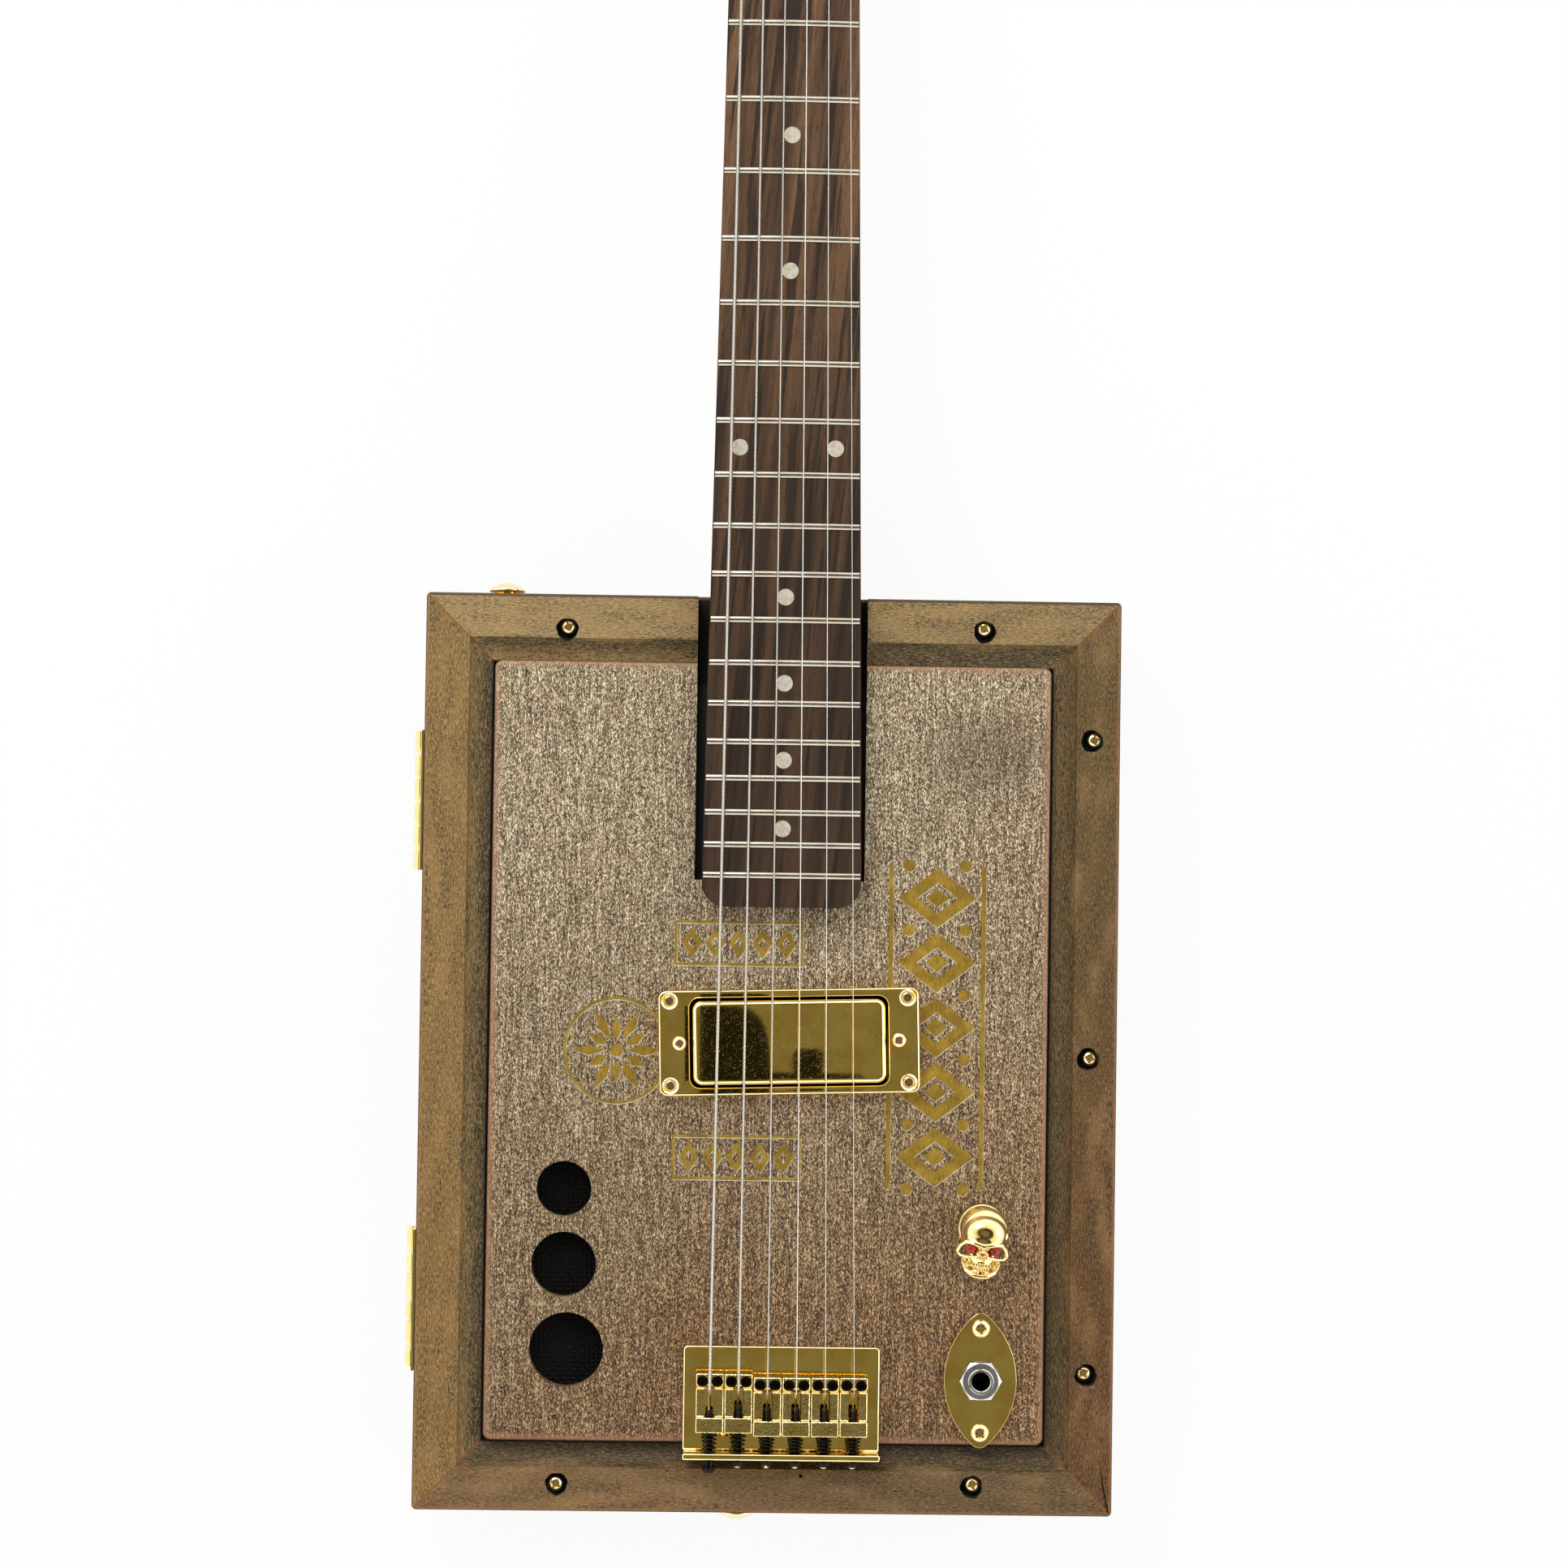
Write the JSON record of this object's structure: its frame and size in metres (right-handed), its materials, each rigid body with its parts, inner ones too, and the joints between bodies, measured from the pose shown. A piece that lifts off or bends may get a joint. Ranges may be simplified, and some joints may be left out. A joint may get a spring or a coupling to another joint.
{
  "type": "cigar box guitar",
  "caption": "Electric guitar with a hinged wooden box body, fretted neck, humbucking pickup, adjustable bridge, meshed sound holes and a skull-shaped volume knob.",
  "frame": {"origin": "centre of the tail wall's outer face, midway up the box's walls", "axes": "+Y along the neck towards the headstock, +Z out of the lid towards the player's audience, +X towards the treble side; the guitar lies on its back"},
  "size_m": [0.2523, 0.852, 0.071],
  "materials": {
    "box_wood": "antique gold-brown stain, satin",
    "frame_wood": "antique gold-brown stain with dark specks, satin",
    "panel_wood": "speckled metallic lacquer, worn edges",
    "maple": "satin lacquer",
    "rosewood": "open grain, oiled",
    "bone": "polished",
    "gold": "polished gold plating",
    "nickel": "polished nickel plating",
    "steel": "bright wire",
    "black_metal": "black",
    "black_plastic": "matt"
  },
  "bodies": {
    "box": {"box_back": "box_wood", "box_wall_top": "box_wood", "box_wall_bottom": "box_wood", "box_wall_left": "box_wood", "box_wall_right": "box_wood", "strap_button_upper": "gold", "strap_button_lower": "gold", "hinge_upper_box_leaf": "gold", "hinge_lower_box_leaf": "gold"},
    "lid": {"hinge_upper_lid_leaf": "gold", "hinge_lower_lid_leaf": "gold", "frame_rail_top": "frame_wood", "frame_rail_bottom": "frame_wood", "frame_stile_left": "frame_wood", "frame_stile_right": "frame_wood", "lid_panel": "panel_wood", "sound_hole_mesh": "black_metal", "neck": "maple", "fretboard": "rosewood", "nut": "bone", "bridge_plate": "gold", "saddle_spring_1": "black_metal", "saddle_spring_2": "black_metal", "saddle_spring_3": "black_metal", "saddle_spring_4": "black_metal", "saddle_spring_5": "black_metal", "saddle_spring_6": "black_metal", "string_1": "steel", "string_2": "steel", "string_3": "steel", "string_4": "steel", "string_5": "steel", "string_6": "steel", "tuner_plate_bass": "gold", "tuner_plate_treble": "gold", "pickup_ring": "gold", "jack_plate": "gold", "jack_socket": "nickel", "volume_pot": "nickel"},
    "saddle_1": {"saddle_1": "gold"},
    "saddle_2": {"saddle_2": "gold"},
    "saddle_3": {"saddle_3": "gold"},
    "saddle_4": {"saddle_4": "gold"},
    "saddle_5": {"saddle_5": "gold"},
    "saddle_6": {"saddle_6": "gold"},
    "tuner_post_1": {"tuner_post_1": "gold"},
    "tuner_post_2": {"tuner_post_2": "gold"},
    "tuner_post_3": {"tuner_post_3": "gold"},
    "tuner_post_4": {"tuner_post_4": "gold"},
    "tuner_post_5": {"tuner_post_5": "gold"},
    "tuner_post_6": {"tuner_post_6": "gold"},
    "tuner_button_1": {"tuner_button_1": "gold"},
    "tuner_button_2": {"tuner_button_2": "gold"},
    "tuner_button_3": {"tuner_button_3": "gold"},
    "tuner_button_4": {"tuner_button_4": "gold"},
    "tuner_button_5": {"tuner_button_5": "gold"},
    "tuner_button_6": {"tuner_button_6": "gold"},
    "pickup": {"pickup_cover": "gold", "pickup_base": "black_plastic"},
    "volume_knob": {"skull_knob": "gold"}
  },
  "joints": [
    {"name": "lid_hinge", "type": "hinge", "parent": "box", "child": "lid", "pos_m": [-0.1263, 0.163, 0.01715], "axis": [0, -1, 0], "range_deg": [0, 180]},
    {"name": "volume_turn", "type": "hinge", "parent": "lid", "child": "volume_knob", "pos_m": [0.0765, 0.102, 0.0325], "axis": [0, 0, 1], "range_deg": [-150, 150]},
    {"name": "pickup_height", "type": "slide", "parent": "lid", "child": "pickup", "axis": [0, 0, 1], "range_m": [-0.0015, 0.0015]},
    {"name": "intonation_1", "type": "slide", "parent": "lid", "child": "saddle_1", "axis": [0, 1, 0], "range_m": [-0.0015, 0.0015], "deforming": ["saddle_spring_1"]},
    {"name": "intonation_2", "type": "slide", "parent": "lid", "child": "saddle_2", "axis": [0, 1, 0], "range_m": [-0.0015, 0.0015], "deforming": ["saddle_spring_2"]},
    {"name": "intonation_3", "type": "slide", "parent": "lid", "child": "saddle_3", "axis": [0, 1, 0], "range_m": [-0.0015, 0.0015], "deforming": ["saddle_spring_3"]},
    {"name": "intonation_4", "type": "slide", "parent": "lid", "child": "saddle_4", "axis": [0, 1, 0], "range_m": [-0.0015, 0.0015], "deforming": ["saddle_spring_4"]},
    {"name": "intonation_5", "type": "slide", "parent": "lid", "child": "saddle_5", "axis": [0, 1, 0], "range_m": [-0.0015, 0.0015], "deforming": ["saddle_spring_5"]},
    {"name": "intonation_6", "type": "slide", "parent": "lid", "child": "saddle_6", "axis": [0, 1, 0], "range_m": [-0.0015, 0.0015], "deforming": ["saddle_spring_6"]},
    {"name": "tuner_turn_1", "type": "hinge", "parent": "lid", "child": "tuner_button_1", "pos_m": [-0.0204, 0.7377, 0.0139], "axis": [-1, 0, 0], "continuous": true},
    {"name": "tuner_turn_2", "type": "hinge", "parent": "lid", "child": "tuner_button_2", "pos_m": [-0.0204, 0.7757, 0.0139], "axis": [-1, 0, 0], "continuous": true},
    {"name": "tuner_turn_3", "type": "hinge", "parent": "lid", "child": "tuner_button_3", "pos_m": [-0.0204, 0.8137, 0.0139], "axis": [-1, 0, 0], "continuous": true},
    {"name": "tuner_turn_4", "type": "hinge", "parent": "lid", "child": "tuner_button_4", "pos_m": [0.0276, 0.8137, 0.0139], "axis": [1, 0, 0], "continuous": true},
    {"name": "tuner_turn_5", "type": "hinge", "parent": "lid", "child": "tuner_button_5", "pos_m": [0.0276, 0.7757, 0.0139], "axis": [1, 0, 0], "continuous": true},
    {"name": "tuner_turn_6", "type": "hinge", "parent": "lid", "child": "tuner_button_6", "pos_m": [0.0276, 0.7377, 0.0139], "axis": [1, 0, 0], "continuous": true},
    {"name": "post_turn_1", "type": "hinge", "parent": "lid", "child": "tuner_post_1", "pos_m": [-0.0204, 0.7317, 0.0327], "axis": [0, 0, 1], "continuous": true},
    {"name": "post_turn_2", "type": "hinge", "parent": "lid", "child": "tuner_post_2", "pos_m": [-0.0204, 0.7697, 0.0327], "axis": [0, 0, 1], "continuous": true},
    {"name": "post_turn_3", "type": "hinge", "parent": "lid", "child": "tuner_post_3", "pos_m": [-0.0204, 0.8077, 0.0327], "axis": [0, 0, 1], "continuous": true},
    {"name": "post_turn_4", "type": "hinge", "parent": "lid", "child": "tuner_post_4", "pos_m": [0.0276, 0.8077, 0.0327], "axis": [0, 0, 1], "continuous": true},
    {"name": "post_turn_5", "type": "hinge", "parent": "lid", "child": "tuner_post_5", "pos_m": [0.0276, 0.7697, 0.0327], "axis": [0, 0, 1], "continuous": true},
    {"name": "post_turn_6", "type": "hinge", "parent": "lid", "child": "tuner_post_6", "pos_m": [0.0276, 0.7317, 0.0327], "axis": [0, 0, 1], "continuous": true}
  ],
  "couplings": [
    {"joint": "post_turn_1", "follows": "tuner_turn_1", "ratio": 0.066667},
    {"joint": "post_turn_2", "follows": "tuner_turn_2", "ratio": 0.066667},
    {"joint": "post_turn_3", "follows": "tuner_turn_3", "ratio": 0.066667},
    {"joint": "post_turn_4", "follows": "tuner_turn_4", "ratio": -0.066667},
    {"joint": "post_turn_5", "follows": "tuner_turn_5", "ratio": -0.066667},
    {"joint": "post_turn_6", "follows": "tuner_turn_6", "ratio": -0.066667}
  ]
}
